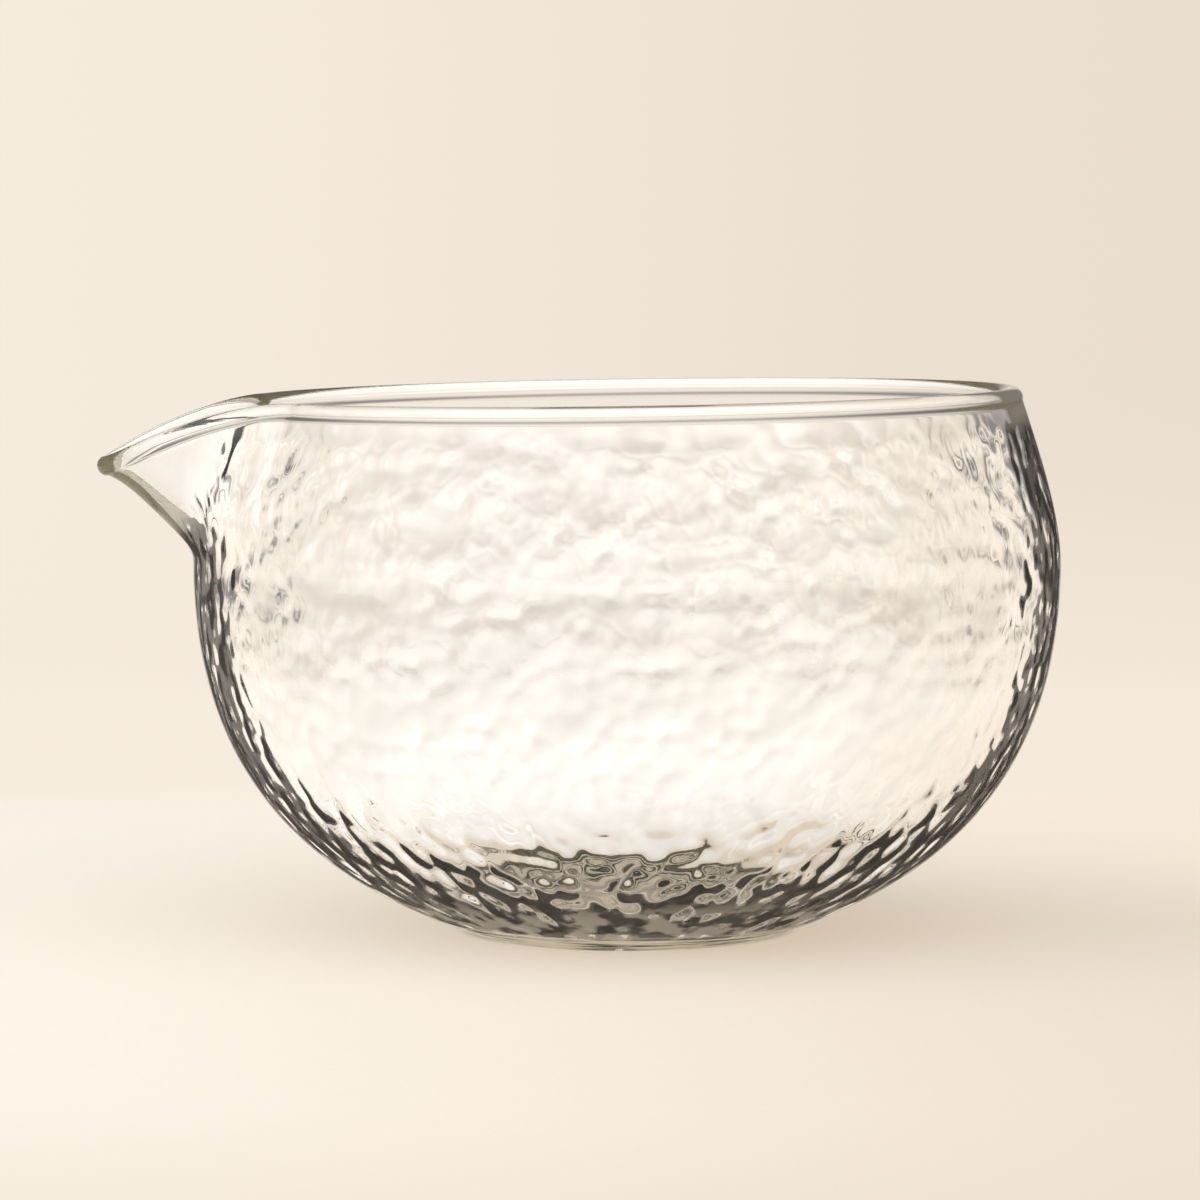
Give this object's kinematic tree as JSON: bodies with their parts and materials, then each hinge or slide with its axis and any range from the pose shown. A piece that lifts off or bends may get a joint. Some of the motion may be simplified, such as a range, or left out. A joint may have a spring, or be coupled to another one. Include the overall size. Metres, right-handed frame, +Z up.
{
  "type": "spouted matcha bowl",
  "caption": "Round clear glass tea bowl with a pinched pouring spout, a rounded fire-polished rim and a thick flat foot, for whisking and pouring matcha.",
  "frame": {"origin": "centre of the foot's flat underside, on the axis of the bowl", "axes": "+Z up along the bowl's axis; the spout points along -X; +Y is to the right of someone looking out along the spout"},
  "size_m": [0.1332, 0.12, 0.0759],
  "materials": {
    "clear_glass": "clear glass, smooth and polished outside, softly hammered inside, faint olive tint in thick edges"
  },
  "bodies": {
    "root": {"base_disc": "clear_glass", "heel_wall": "clear_glass", "bowl_wall": "clear_glass", "shoulder_band": "clear_glass", "pouring_spout": "clear_glass", "rim_bead": "clear_glass"}
  },
  "joints": []
}
